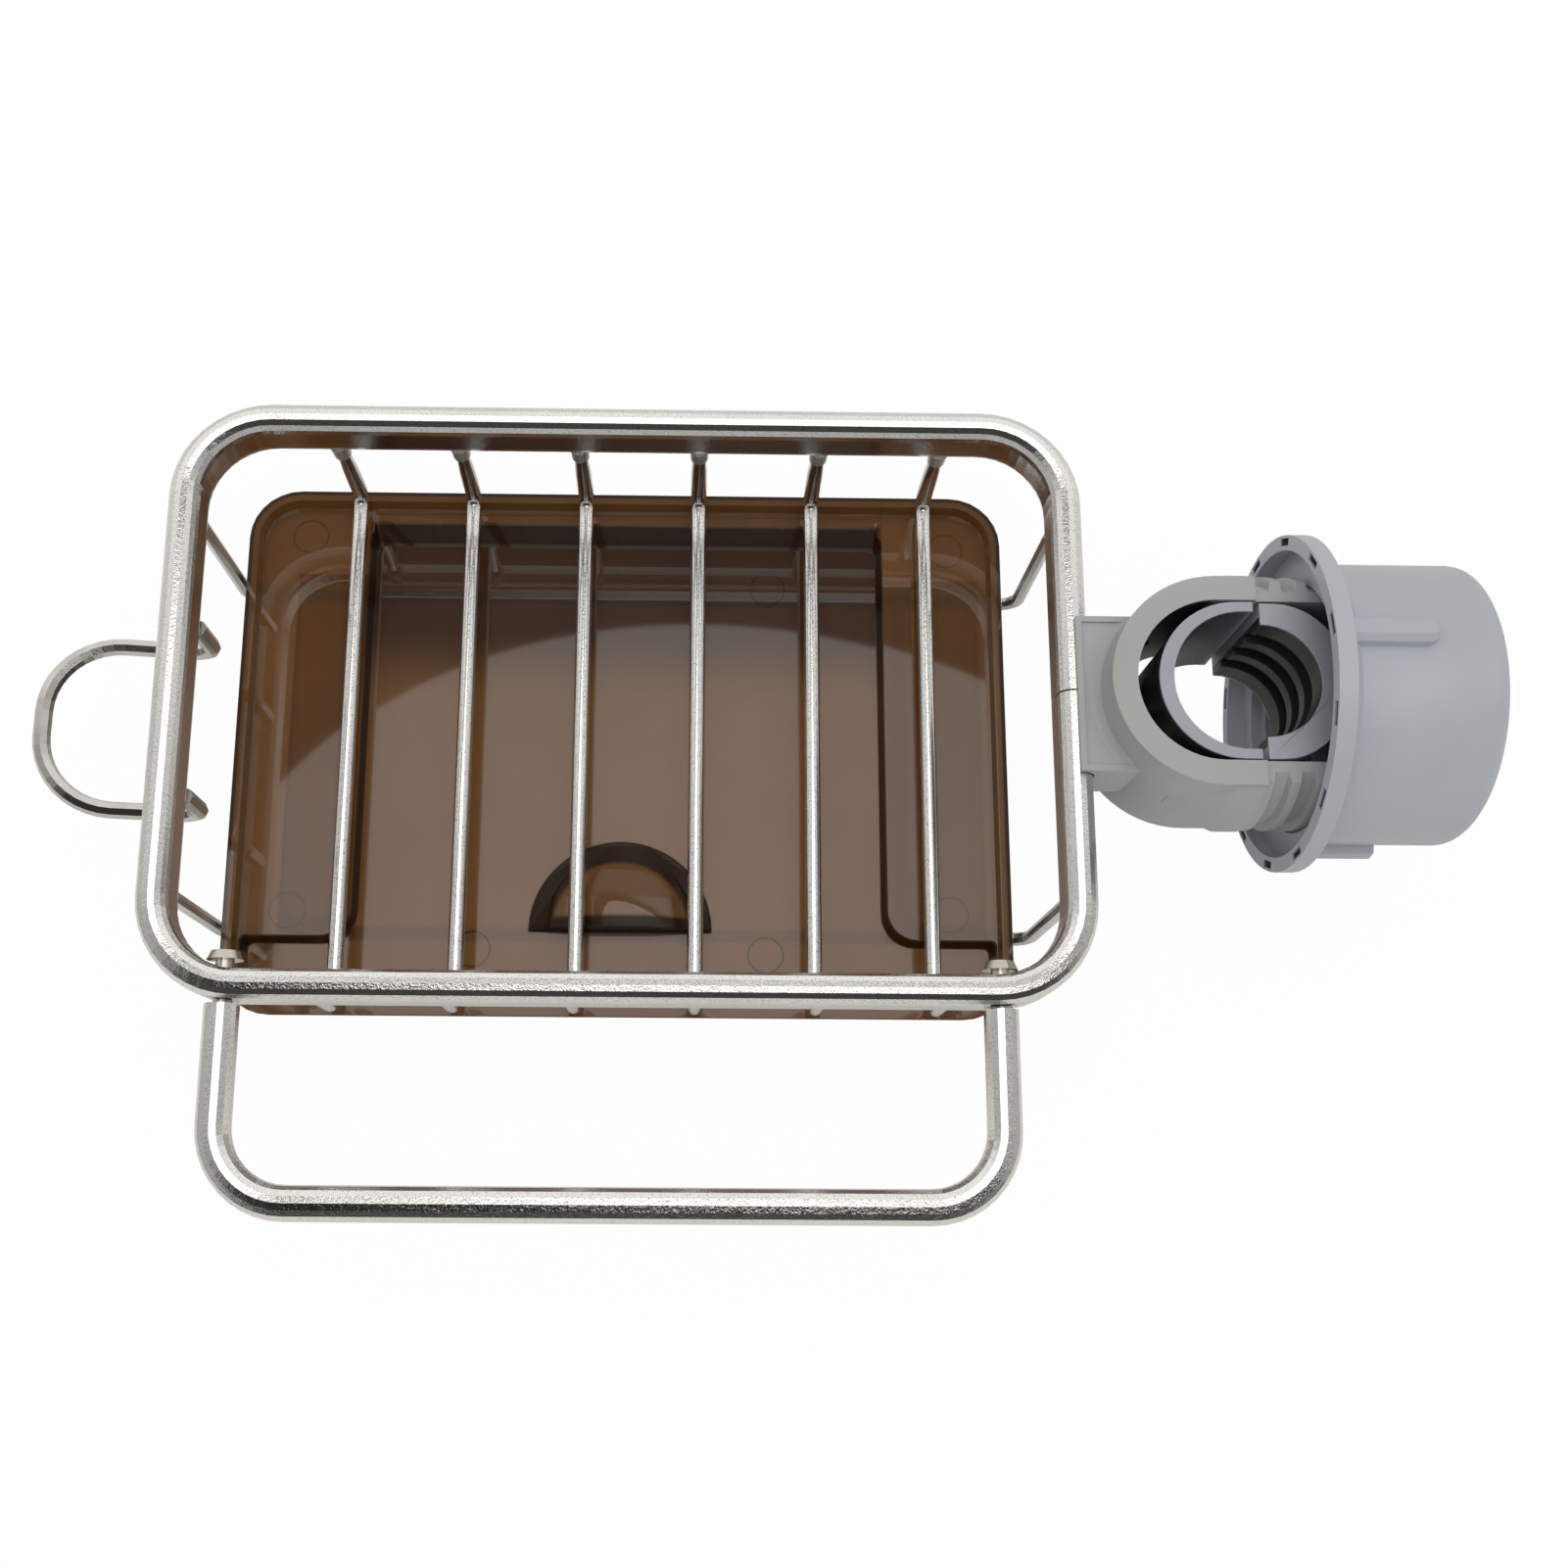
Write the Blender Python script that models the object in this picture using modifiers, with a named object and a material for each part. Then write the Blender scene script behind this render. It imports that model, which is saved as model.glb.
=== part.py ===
import math

import bmesh
import bpy
from mathutils import Matrix, Vector

# Basket sizes are measured from the middle of the rim, clamp sizes from the pipe's axis

# Rim: a flat oval bar standing on edge, bent round a rectangle
rim_half_length = 0.0790
rim_half_depth = 0.0515
rim_bar_width = 0.0055
rim_bar_height = 0.0105
rim_corner_radius = 0.0150
rim_seam_offset = 0.0010

# Cross wires and tray rails hung under the rim
cross_wire_count = 6
basket_wire_diameter = 0.0026
basket_floor_drop = 0.0278
wire_end_inset = 0.02325
wire_set_offset = 0.0019
wire_inset = 0.0005
wire_bend_radius = 0.0030
rail_drop = 0.0400
rail_end_inset = 0.0010
rail_back_inset = 0.0172
rail_front_inset = 0.0163
rail_bend_radius = 0.0036

# Brush hook on the left side
hook_wire_diameter = 0.0032
hook_leg_inset = 0.0015
hook_offset = -0.0012
hook_half_width = 0.0157
hook_leg_drop = 0.0190
hook_bend_radius = 0.0034
hook_loop_radius = 0.0134
hook_reach = 0.0294
hook_rise = 0.0050

# Towel bar in front
towel_bar_diameter = 0.0060
towel_bar_end_inset = 0.0132
towel_bar_offset = -0.0008
towel_bar_reach = 0.0361
towel_bar_bend_radius = 0.0126

# Screws
bar_screw_diameter = 0.0032
bar_screw_grip = 0.0080
bar_screw_head_diameter = 0.0062
bar_screw_head_height = 0.0015
block_screw_diameter = 0.0030
block_screw_head_diameter = 0.0055
block_screw_head_height = 0.0020
block_screw_spacing = 0.0180
block_screw_bite = 0.0034
block_screw_grip = 0.0066
head_crown_share = 0.78
drive_reach_share = 0.25
drive_slot_width = 0.0008
drive_slot_depth = 0.0007

# Drip tray
tray_end_gap = 0.0035
tray_overhang = 0.0010
tray_offset = -0.0014
tray_corner_radius = 0.0100
tray_wall = 0.0012
tray_draft = 0.0012
tray_floor_thickness = 0.0016
platform_width = 0.0231
platform_drop = 0.0026
platform_corner_radius = 0.0055
channel_width = 0.0157
ledge_depth = 0.0062
ledge_drop = 0.0046
well_draft = 0.0010
pocket_wall = 0.0018
pocket_corner_radius = 0.0060
finger_pull_setback = 0.0177
finger_pull_radius = 0.0177
finger_pull_draft = 0.0004
finger_pull_base_height = 0.0022
finger_pull_dome_radius = 0.0166
finger_pull_dome_height = 0.0044
finger_pull_shell = 0.0013
finger_pull_facets = 10
finger_pull_tiers = 8

# Clamp body: mounting block, yoke and threaded arms
clamp_rise = 0.0006
block_neck = 0.0040
yoke_axis = -0.0042
yoke_half_height = 0.0140
yoke_inner_radius = 0.0142
yoke_wall = 0.0043
yoke_base_flare = 0.0006
yoke_arm_end = 0.0025
barrel_lead = 0.0070
barrel_taper = 0.0100
barrel_sink = 0.0009
block_length = 0.0141
block_half_depth = 0.0140
block_height = 0.0139
block_lift = 0.0003
block_edge_width = 0.0010
block_pocket_depth = 0.0005
yoke_fillet_radius = 0.0020

# Thread shared by the arms and the nut
thread_first = 0.0023
thread_start_angle = math.radians(4.0)
thread_pitch = 0.0045
thread_step = 0.0023
thread_depth = 0.0015
thread_crest_width = 0.0015
thread_flank = 0.0005
thread_clearance = 0.00035
thread_land_height = 0.0133
thread_end = 0.0188
barrel_margin = 0.0002
arm_thread_turns = 5
nut_thread_first = 2
nut_thread_turns = 3

# Half-sleeve against the pipe on the basket side
sleeve_wall = 0.0017
sleeve_axis = -0.0008
sleeve_end = 0.0019
sleeve_half_height = 0.0138
sleeve_fin_spacing = 0.0064
sleeve_fin_thickness = 0.0016
sleeve_fin_top = 0.0020

# Half-sleeve pressed against the pipe by the nut
saddle_start = 0.0031
saddle_side_gap = 0.0004
saddle_half_height = 0.0134
saddle_bore_step = 0.0022
saddle_groove_depth = 0.0012
saddle_groove_width = 0.0038
saddle_groove_pitch = 0.0064
saddle_round_start = 0.0055
saddle_back_length = 0.0123
saddle_stem_radius = 0.0070
saddle_stem_root = 0.0031
saddle_stem_length = 0.0157

# Clamp nut
nut_face = 0.0096
nut_length = 0.0309
nut_wall = 0.0023
nut_flange_width = 0.0050
nut_flange_thickness = 0.0031
nut_shoulder_length = 0.0028
nut_shoulder_share = 0.25
nut_end_round = 0.0030
nut_mouth_gap = 0.0047
nut_mouth_depth = 0.0032
nut_bore_length = 0.0167
nut_relief_depth = 0.0010
nut_inner_length = 0.0242
nut_rib_count = 3
nut_rib_first_angle = math.radians(10.5)
nut_rib_width = 0.0045
nut_rib_height = 0.0025
nut_rib_sink = 0.0010
nut_rib_crown_share = 0.6
nut_rib_setback = 0.0032
nut_rib_length = 0.0155
nut_notch_count = 12
nut_notch_first_angle = math.radians(9.5)
nut_notch_inset = 0.0012
nut_notch_length = 0.0040
nut_notch_width = 0.0013
nut_notch_depth = 0.0012

# Clearances
seat_gap = 0.0003
overlap = 0.0005
merge_distance = 0.000002
cut_margin = 0.0040

# Facets
bend_steps = 6
rim_bend_steps = 10
oval_steps = 8
corner_steps = 7
hole_steps = 24
half_round_steps = 20
wide_arc_steps = 30
round_steps = 40
ring_steps = 60
thread_steps = 44

# Levels and faces that neighbours share
wire_top = -rim_bar_height / 2 - seat_gap
rim_outer_face = rim_half_depth + rim_bar_width / 2
rim_inner_face = rim_half_depth - rim_bar_width / 2
rim_side_face = rim_half_length + rim_bar_width / 2
towel_bar_half_width = rim_half_length - towel_bar_end_inset
tray_half_length = rim_half_length - rail_end_inset - tray_end_gap
tray_half_depth = rim_half_depth + tray_overhang
tray_top = -basket_floor_drop - basket_wire_diameter / 2 - seat_gap
tray_bottom = -rail_drop + basket_wire_diameter / 2 + seat_gap
tray_shelf = tray_top - platform_drop
tray_floor = tray_bottom + tray_floor_thickness
platform_edge = tray_half_length - platform_width
platform_front = channel_width - tray_half_depth
bar_hole_radius = bar_screw_diameter / 2 + seat_gap
block_hole_radius = block_screw_diameter / 2 + seat_gap
yoke_outer_radius = yoke_inner_radius + yoke_wall
clamp_reach = yoke_outer_radius + block_neck - yoke_axis
block_start = -clamp_reach
block_screw_seat = block_start + rim_bar_width / 2 + block_screw_grip
barrel_start = yoke_axis - barrel_lead
barrel_full = barrel_start + barrel_taper
thread_root_radius = yoke_outer_radius + thread_step
thread_crest_radius = thread_root_radius + thread_depth
sleeve_outer_radius = yoke_inner_radius - seat_gap
pipe_radius = sleeve_outer_radius - sleeve_wall
saddle_bore_radius = pipe_radius - saddle_bore_step
nut_body_radius = thread_crest_radius + nut_wall
nut_flange_radius = nut_body_radius + nut_flange_width


def clear_scene():
    for item in list(bpy.data.objects):
        bpy.data.objects.remove(item, do_unlink=True)


def new_collection(name):
    collection = bpy.data.collections.new(name)
    bpy.context.scene.collection.children.link(collection)
    return collection


def add_object(name, data, collection, material=None):
    item = bpy.data.objects.new(name, data)
    collection.objects.link(item)
    if material:
        if not data.materials:
            data.materials.append(None)
        item.material_slots[0].link = 'OBJECT'
        item.material_slots[0].material = material
    return item


def new_material(name, colour, roughness, metallic, alpha=1.0):
    material = bpy.data.materials.new(name)
    material.use_nodes = True
    shader = material.node_tree.nodes["Principled BSDF"]
    shader.inputs["Base Color"].default_value = (*colour, 1.0)
    shader.inputs["Roughness"].default_value = roughness
    shader.inputs["Metallic"].default_value = metallic
    shader.inputs["Alpha"].default_value = alpha
    material.diffuse_color = (*colour, alpha)
    return material


def satin_steel(name):
    return new_material(name, (0.70, 0.69, 0.67), 0.34, 1.0)


def bright_steel(name):
    return new_material(name, (0.62, 0.61, 0.58), 0.22, 1.0)


def grey_plastic(name):
    return new_material(name, (0.36, 0.39, 0.43), 0.45, 0.0)


def dark_grey_plastic(name):
    return new_material(name, (0.20, 0.21, 0.23), 0.45, 0.0)


def smoked_plastic(name):
    return new_material(name, (0.20, 0.12, 0.06), 0.12, 0.0, 0.72)


def smooth(item):
    item.data.shade_smooth()
    item.data.set_sharp_from_angle(angle=math.radians(30.0))


def mesh_from(item, name, collection, material=None):
    # Turns a curve or a piece with live modifiers into one welded mesh
    bpy.context.view_layer.update()
    graph = bpy.context.evaluated_depsgraph_get()
    mesh = bpy.data.meshes.new_from_object(item.evaluated_get(graph))
    mesh.name = name
    mesh.materials.clear()
    form = bmesh.new()
    form.from_mesh(mesh)
    bmesh.ops.remove_doubles(form, verts=form.verts, dist=merge_distance)
    bmesh.ops.holes_fill(form, edges=form.edges)
    bmesh.ops.recalc_face_normals(form, faces=form.faces)
    form.to_mesh(mesh)
    form.free()
    place = item.matrix_basis.copy()
    bpy.data.objects.remove(item, do_unlink=True)
    made = add_object(name, mesh, collection, material)
    made.matrix_basis = place
    return made


def set_origin(item, point):
    shift = item.matrix_basis.inverted() @ Vector(point)
    item.data.transform(Matrix.Translation(-shift))
    item.matrix_basis = item.matrix_basis @ Matrix.Translation(shift)


def combine(target, tool, operation):
    for owner in list(tool.users_collection):
        owner.objects.unlink(tool)
    cutters.objects.link(tool)
    tool.hide_render = True
    tool.display_type = 'WIRE'
    modifier = target.modifiers.new(tool.name, 'BOOLEAN')
    modifier.operation = operation
    modifier.solver = 'EXACT'
    modifier.object = tool


# Outlines

def rounded_line(corners, radii, steps, closed=False):
    points = []
    count = len(corners)
    for index, place in enumerate(corners):
        corner = Vector(place)
        radius = radii[index] if isinstance(radii, (list, tuple)) else radii
        if radius <= 0.0 or (not closed and index in (0, count - 1)):
            points.append(corner)
            continue
        to_last = (Vector(corners[index - 1]) - corner).normalized()
        to_next = (Vector(corners[(index + 1) % count]) - corner).normalized()
        half_angle = to_last.angle(to_next) / 2
        start = corner + to_last * (radius / math.tan(half_angle))
        middle = corner + (to_last + to_next).normalized() * (radius / math.sin(half_angle))
        sweep = math.pi - 2 * half_angle
        for step in range(steps + 1):
            turn = sweep * step / steps
            points.append(middle + (start - middle) * math.cos(turn) - to_last * (radius * math.sin(turn)))
    return points


def rectangle(half_length, half_depth, radius, middle=(0.0, 0.0)):
    corners = [(middle[0] + sx * half_length, middle[1] + sy * half_depth, 0.0)
               for sx, sy in ((-1, -1), (1, -1), (1, 1), (-1, 1))]
    return rounded_line(corners, radius, corner_steps, closed=True)


def arc(middle, radius, start, end, steps):
    # Points of an arc seen from above
    points = []
    for step in range(steps + 1):
        turn = start + (end - start) * step / steps
        points.append(Vector((middle + radius * math.cos(turn), radius * math.sin(turn), 0.0)))
    return points


def half_ring(outer_axis, outer, inner_axis, inner, end):
    # Outline of a ring open towards the nut
    points = arc(outer_axis, outer, math.pi / 2, math.pi * 3 / 2, wide_arc_steps)
    points += [Vector((end, -outer, 0.0)), Vector((end, -inner, 0.0))]
    points += arc(inner_axis, inner, math.pi * 3 / 2, math.pi / 2, wide_arc_steps)
    points += [Vector((end, inner, 0.0)), Vector((end, outer, 0.0))]
    return points


def pipe_slot(axis, radius, end):
    # Outline of the round-ended space that opens towards the nut
    points = arc(axis, radius, math.pi / 2, math.pi * 3 / 2, wide_arc_steps)
    return points + [Vector((end, -radius, 0.0)), Vector((end, radius, 0.0))]


def oval(width, height):
    straight = (height - width) / 2
    points = []
    for side in (1, -1):
        for step in range(oval_steps + 1):
            turn = math.pi * step / oval_steps
            points.append(Vector((side * width / 2 * math.cos(turn),
                                  side * (straight + width / 2 * math.sin(turn)), 0.0)))
    return points


# Basic solids

def line_curve(name, points, closed=False, flat=False):
    curve = bpy.data.curves.new(name, 'CURVE')
    curve.dimensions = '2D' if flat else '3D'
    spline = curve.splines.new('POLY')
    spline.points.add(len(points) - 1)
    for slot, point in zip(spline.points, points):
        slot.co = (point[0], point[1], 0.0 if flat else point[2], 1.0)
    spline.use_cyclic_u = closed
    return curve


def wire_curve(name, points, diameter, resolution=2):
    curve = line_curve(name, points)
    curve.bevel_depth = diameter / 2
    curve.bevel_resolution = resolution
    curve.use_fill_caps = True
    return curve


def plate(name, outline, bottom, top, collection, material=None):
    curve = line_curve(name, outline, closed=True, flat=True)
    curve.fill_mode = 'BOTH'
    curve.extrude = (top - bottom) / 2
    item = add_object(name, curve, collection)
    item.location.z = (top + bottom) / 2
    return mesh_from(item, name, collection, material)


def loft(name, outlines, collection, material=None):
    # Joins outlines of one count of points, the first and last of them closed by flat faces
    form = bmesh.new()
    rings = [[form.verts.new(point) for point in outline] for outline in outlines]
    count = len(rings[0])
    for lower, upper in zip(rings, rings[1:]):
        for index in range(count):
            following = (index + 1) % count
            form.faces.new((lower[index], lower[following], upper[following], upper[index]))
    form.faces.new(list(reversed(rings[0])))
    form.faces.new(rings[-1])
    bmesh.ops.recalc_face_normals(form, faces=form.faces)
    mesh = bpy.data.meshes.new(name)
    form.to_mesh(mesh)
    form.free()
    return add_object(name, mesh, collection, material)


def raised(outline, height):
    return [Vector((point[0], point[1], height)) for point in outline]


def primitive(name, make, place, collection, material=None, **shape):
    form = bmesh.new()
    make(form, matrix=place, **shape)
    mesh = bpy.data.meshes.new(name)
    form.to_mesh(mesh)
    form.free()
    return add_object(name, mesh, collection, material)


def box(name, low, high, collection):
    low = Vector(low)
    high = Vector(high)
    place = Matrix.Translation((low + high) / 2) @ Matrix.Diagonal((*(high - low), 1.0))
    return primitive(name, bmesh.ops.create_cube, place, collection, size=1.0)


def round_bar(name, start, end, radius, collection, material=None, steps=round_steps, end_radius=None):
    start = Vector(start)
    run = Vector(end) - start
    turn = Vector((0.0, 0.0, 1.0)).rotation_difference(run).to_matrix().to_4x4()
    place = Matrix.Translation(start + run / 2) @ turn
    return primitive(name, bmesh.ops.create_cone, place, collection, material, cap_ends=True, segments=steps,
                     radius1=radius, radius2=radius if end_radius is None else end_radius, depth=run.length)


def turned(name, profile, collection, material=None, steps=ring_steps, rise=0.0, turns=1, angle=0.0,
           closed=False):
    # Profile pairs are place along the clamp's axis and radius, from the nut's end to the yoke's
    mesh = bpy.data.meshes.new(name)
    count = len(profile)
    edges = [(index, index + 1) for index in range(count - 1)]
    if closed:
        edges.append((count - 1, 0))
    points = [(radius * math.cos(angle), radius * math.sin(angle), along) for along, radius in profile]
    mesh.from_pydata(points, edges, [])
    item = add_object(name, mesh, collection)
    screw = item.modifiers.new("turn", 'SCREW')
    screw.steps = steps
    screw.render_steps = steps
    screw.screw_offset = rise
    screw.iterations = turns
    screw.use_merge_vertices = True
    screw.merge_threshold = merge_distance
    item.rotation_euler.y = math.pi / 2
    bpy.context.view_layer.update()
    return mesh_from(item, name, collection, material)


# Rim and wires

def build_rim():
    half_seam = seat_gap / 2
    corners = [(rim_half_length, rim_seam_offset + half_seam, 0.0), (rim_half_length, rim_half_depth, 0.0),
               (-rim_half_length, rim_half_depth, 0.0), (-rim_half_length, -rim_half_depth, 0.0),
               (rim_half_length, -rim_half_depth, 0.0), (rim_half_length, rim_seam_offset - half_seam, 0.0)]
    shape = line_curve("rim_section", oval(rim_bar_width, rim_bar_height), closed=True, flat=True)
    shape.fill_mode = 'NONE'
    section = add_object("rim_section", shape, cutters)
    curve = line_curve("rim_frame", rounded_line(corners, rim_corner_radius, rim_bend_steps))
    curve.twist_mode = 'Z_UP'
    curve.bevel_mode = 'OBJECT'
    curve.bevel_object = section
    curve.use_fill_caps = True
    rim = mesh_from(add_object("rim_frame", curve, parts), "rim_frame", parts, satin_steel("rim_steel"))
    bpy.data.objects.remove(section, do_unlink=True)
    bore_end = rim_side_face - block_screw_bite - seat_gap
    for side in (-1, 1):
        across = towel_bar_offset + side * towel_bar_half_width
        combine(rim, round_bar("bar_screw_hole", (across, -rim_outer_face - cut_margin, 0.0),
                               (across, -rim_inner_face + cut_margin, 0.0), bar_hole_radius,
                               cutters, steps=hole_steps), 'DIFFERENCE')
        depth = side * block_screw_spacing / 2
        combine(rim, round_bar("block_screw_bore", (bore_end, depth, 0.0),
                               (rim_side_face + cut_margin, depth, 0.0), block_hole_radius,
                               cutters, steps=hole_steps), 'DIFFERENCE')
    smooth(rim)


def build_cross_wires():
    reach = rim_half_depth - wire_inset
    corners = [(0.0, reach, wire_top), (0.0, reach, -basket_floor_drop),
               (0.0, -reach, -basket_floor_drop), (0.0, -reach, wire_top)]
    path = rounded_line(corners, wire_bend_radius, bend_steps)
    curve = wire_curve("cross_wire", path, basket_wire_diameter)
    first = wire_end_inset - rim_half_length
    for index in range(cross_wire_count):
        name = "cross_wire_%d" % (index + 1)
        wire = add_object(name, curve, parts, satin_steel(name + "_steel"))
        wire.location.x = wire_set_offset + first * (1 - 2 * index / (cross_wire_count - 1))


def build_tray_rails():
    reach = rim_half_length - rail_end_inset
    corners = [(-reach, 0.0, wire_top), (-reach, 0.0, -rail_drop),
               (reach, 0.0, -rail_drop), (reach, 0.0, wire_top)]
    curve = wire_curve("tray_rail", rounded_line(corners, rail_bend_radius, bend_steps), basket_wire_diameter)
    for name, depth in (("tray_rail_back", rim_half_depth - rail_back_inset),
                        ("tray_rail_front", rail_front_inset - rim_half_depth)):
        rail = add_object(name, curve, parts, satin_steel(name + "_steel"))
        rail.location.y = depth


def build_brush_hook():
    # Legs drop from the rim's underside, then run out under it and rise a little to the loop
    loop_level = hook_rise - hook_leg_drop
    corners = [(0.0, hook_half_width, wire_top), (0.0, hook_half_width, -hook_leg_drop),
               (-hook_reach, hook_half_width, loop_level), (-hook_reach, -hook_half_width, loop_level),
               (0.0, -hook_half_width, -hook_leg_drop), (0.0, -hook_half_width, wire_top)]
    radii = [0.0, hook_bend_radius, hook_loop_radius, hook_loop_radius, hook_bend_radius, 0.0]
    curve = wire_curve("brush_hook", rounded_line(corners, radii, rim_bend_steps), hook_wire_diameter)
    hook = add_object("brush_hook", curve, parts, bright_steel("hook_steel"))
    hook.location = (hook_leg_inset - rim_half_length, hook_offset, 0.0)


def build_towel_bar():
    back = -rim_outer_face - seat_gap
    front = -rim_outer_face - towel_bar_reach + towel_bar_diameter / 2
    left, right = (towel_bar_offset + side * towel_bar_half_width for side in (-1, 1))
    corners = [(left, back, 0.0), (left, front, 0.0), (right, front, 0.0), (right, back, 0.0)]
    path = rounded_line(corners, towel_bar_bend_radius, rim_bend_steps)
    curve = wire_curve("towel_bar", path, towel_bar_diameter, resolution=bend_steps)
    bar = mesh_from(add_object("towel_bar", curve, parts), "towel_bar", parts, satin_steel("towel_bar_steel"))
    for across in (left, right):
        combine(bar, round_bar("bar_screw_bore", (across, back + cut_margin, 0.0),
                               (across, back - bar_screw_grip - seat_gap, 0.0), bar_hole_radius,
                               cutters, steps=hole_steps), 'DIFFERENCE')
    smooth(bar)


# Screws: the head's seat is at the origin and the shank runs up from it

def pan_head_screw(name, diameter, length, head_diameter, head_height, material):
    seat = (0.0, 0.0, 0.0)
    item = round_bar(name, (0.0, 0.0, -head_height / 2), (0.0, 0.0, length), diameter / 2, parts,
                     material, steps=hole_steps)
    head = round_bar(name + "_head", seat, (0.0, 0.0, -head_height), head_diameter / 2, cutters,
                     end_radius=head_diameter / 2 * head_crown_share)
    combine(item, head, 'UNION')
    reach = head_diameter * drive_reach_share
    half = drive_slot_width / 2
    for long_side, short_side in ((reach, half), (half, reach)):
        slot = box(name + "_slot", (-long_side, -short_side, -head_height - drive_slot_depth),
                   (long_side, short_side, -head_height + drive_slot_depth), cutters)
        combine(item, slot, 'DIFFERENCE')
    screw = mesh_from(item, name, parts, material)
    smooth(screw)
    return screw


def bar_screw_seat(across):
    # The head bears on the rim where the corner's bend begins
    bend_radius = rim_corner_radius - rim_bar_width / 2
    past_bend = across + bar_screw_head_diameter / 2 - (rim_half_length - rim_corner_radius)
    return rim_inner_face - bend_radius + math.sqrt(bend_radius ** 2 - past_bend ** 2) - seat_gap


def build_towel_bar_screws():
    for side, place in ((-1, "left"), (1, "right")):
        across = towel_bar_offset + side * towel_bar_half_width
        seat = -bar_screw_seat(abs(across))
        length = rim_outer_face + seat_gap + bar_screw_grip + seat
        screw = pan_head_screw("towel_bar_screw_" + place, bar_screw_diameter, length,
                               bar_screw_head_diameter, bar_screw_head_height,
                               bright_steel("bar_screw_steel_" + place))
        screw.rotation_euler.x = math.pi / 2
        screw.location = (across, seat, 0.0)


def build_clamp_screws():
    seat = block_screw_seat + seat_gap
    length = seat + clamp_reach - rim_bar_width / 2 + block_screw_bite
    front = pan_head_screw("clamp_screw_front", block_screw_diameter, length, block_screw_head_diameter,
                           block_screw_head_height, bright_steel("clamp_screw_steel_front"))
    back = add_object("clamp_screw_back", front.data, parts, bright_steel("clamp_screw_steel_back"))
    for screw, side in ((front, -1), (back, 1)):
        screw.rotation_euler.y = -math.pi / 2
        screw.location = (seat, side * block_screw_spacing / 2, -clamp_rise)


# Drip tray

def tray_ring(inset, height):
    outline = rectangle(tray_half_length - inset, tray_half_depth - inset, tray_corner_radius - inset,
                        (tray_offset, 0.0))
    return raised(outline, height)


def well_ring(inset, height):
    # The deep part: a bay between the two side platforms and a channel across the front
    near = platform_edge - inset
    far = tray_half_length - tray_wall - tray_draft - inset
    front = -tray_half_depth + tray_wall + tray_draft + inset
    step = platform_front - inset
    back = tray_half_depth - tray_wall - ledge_depth - inset
    corners = [(-far, front), (far, front), (far, step), (near, step),
               (near, back), (-near, back), (-near, step), (-far, step)]
    outer = tray_corner_radius - tray_wall - inset
    inner = platform_corner_radius + inset
    radii = [outer, outer, tray_wall, inner, tray_wall, tray_wall, inner, tray_wall]
    return rounded_line([(x + tray_offset, y, height) for x, y in corners], radii, corner_steps, closed=True)


def finger_pull(inset, bottom):
    # A half-round boss with a faceted half-dome on it, flat towards the front
    radius = finger_pull_radius - inset
    front = finger_pull_setback - tray_half_depth + inset
    base_top = tray_floor + finger_pull_base_height - inset
    shapes = []
    for size, height in ((radius, bottom), (radius - finger_pull_draft, base_top)):
        half_round = arc(tray_offset, size, 0.0, math.pi, half_round_steps)
        shapes.append([Vector((point.x, point.y + front, height)) for point in half_round])
    boss = loft("finger_pull_boss", shapes, cutters)
    wide = finger_pull_dome_radius - inset
    tall = base_top + finger_pull_dome_height - bottom
    facet_turn = Matrix.Rotation(math.pi / finger_pull_facets, 4, 'Z')
    place = (Matrix.Translation((tray_offset, front, bottom)) @ Matrix.Diagonal((wide, wide, tall, 1.0))
             @ Matrix.Rotation(-math.pi / 2, 4, 'X') @ facet_turn)
    dome = primitive("finger_pull_dome", bmesh.ops.create_uvsphere, place, cutters,
                     u_segments=finger_pull_facets, v_segments=finger_pull_tiers, radius=1.0)
    reach = finger_pull_radius * 2
    combine(dome, box("finger_pull_front_cut", (tray_offset - reach, front - reach, bottom - reach),
                      (tray_offset + reach, front, bottom + reach), cutters), 'DIFFERENCE')
    combine(dome, box("finger_pull_below_cut", (tray_offset - reach, front - reach, bottom - reach),
                      (tray_offset + reach, front + reach, bottom), cutters), 'DIFFERENCE')
    combine(boss, dome, 'UNION')
    return boss


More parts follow.
